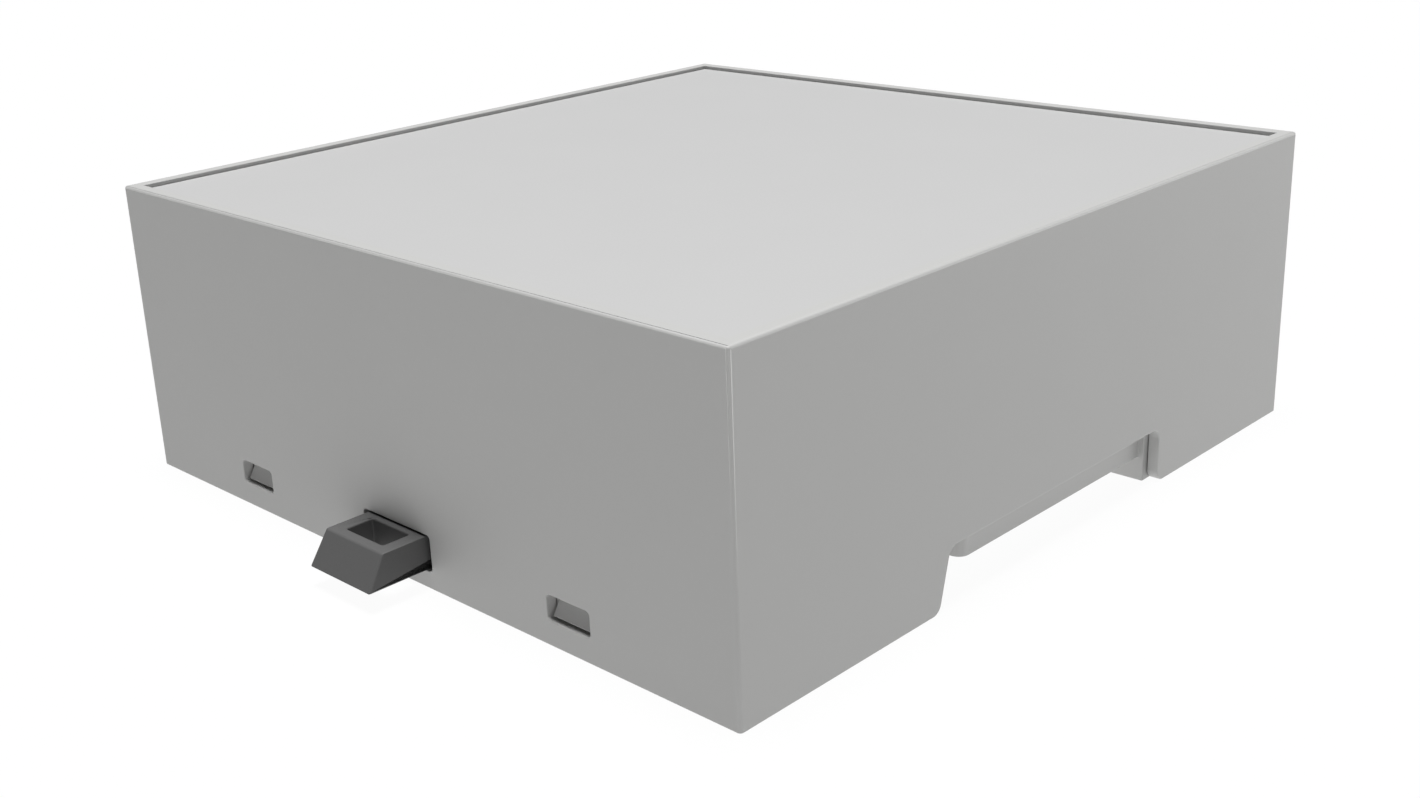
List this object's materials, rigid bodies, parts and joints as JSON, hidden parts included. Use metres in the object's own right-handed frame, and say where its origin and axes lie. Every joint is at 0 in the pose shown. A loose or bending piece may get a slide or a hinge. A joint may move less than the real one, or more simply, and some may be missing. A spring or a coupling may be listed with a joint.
{
  "type": "din rail enclosure",
  "caption": "Low-profile plastic enclosure for a 35 mm top-hat rail: a one-piece cover with a recessed front panel, a snap-in base with a rail seat and hooks, and a sliding rail clip.",
  "frame": {"origin": "middle of the rail seat, on the rail's centre line, in the plane that the rail's flanges bear on", "axes": "+X along the rail, -Y towards the release tab of the clip and +Y towards the fixed hooks, +Z away from the rail towards the front panel"},
  "size_m": [0.0874, 0.0968, 0.032],
  "materials": {
    "light_grey_plastic": "fine spark texture, light grey",
    "panel_plastic": "fine spark texture, neutral light grey",
    "base_plastic": "fine spark texture, light grey",
    "dark_grey_plastic": "satin, dark grey"
  },
  "bodies": {
    "housing": {"cover": "light_grey_plastic", "front_panel": "panel_plastic", "base": "base_plastic"},
    "clip": {"rail_clip": "dark_grey_plastic"}
  },
  "joints": [
    {"name": "clip_slide", "type": "slide", "parent": "housing", "child": "clip", "axis": [0, -1, 0], "range_m": [0, 0.0035], "stiffness_N_per_m": 2000, "springref_m": -0.001}
  ]
}
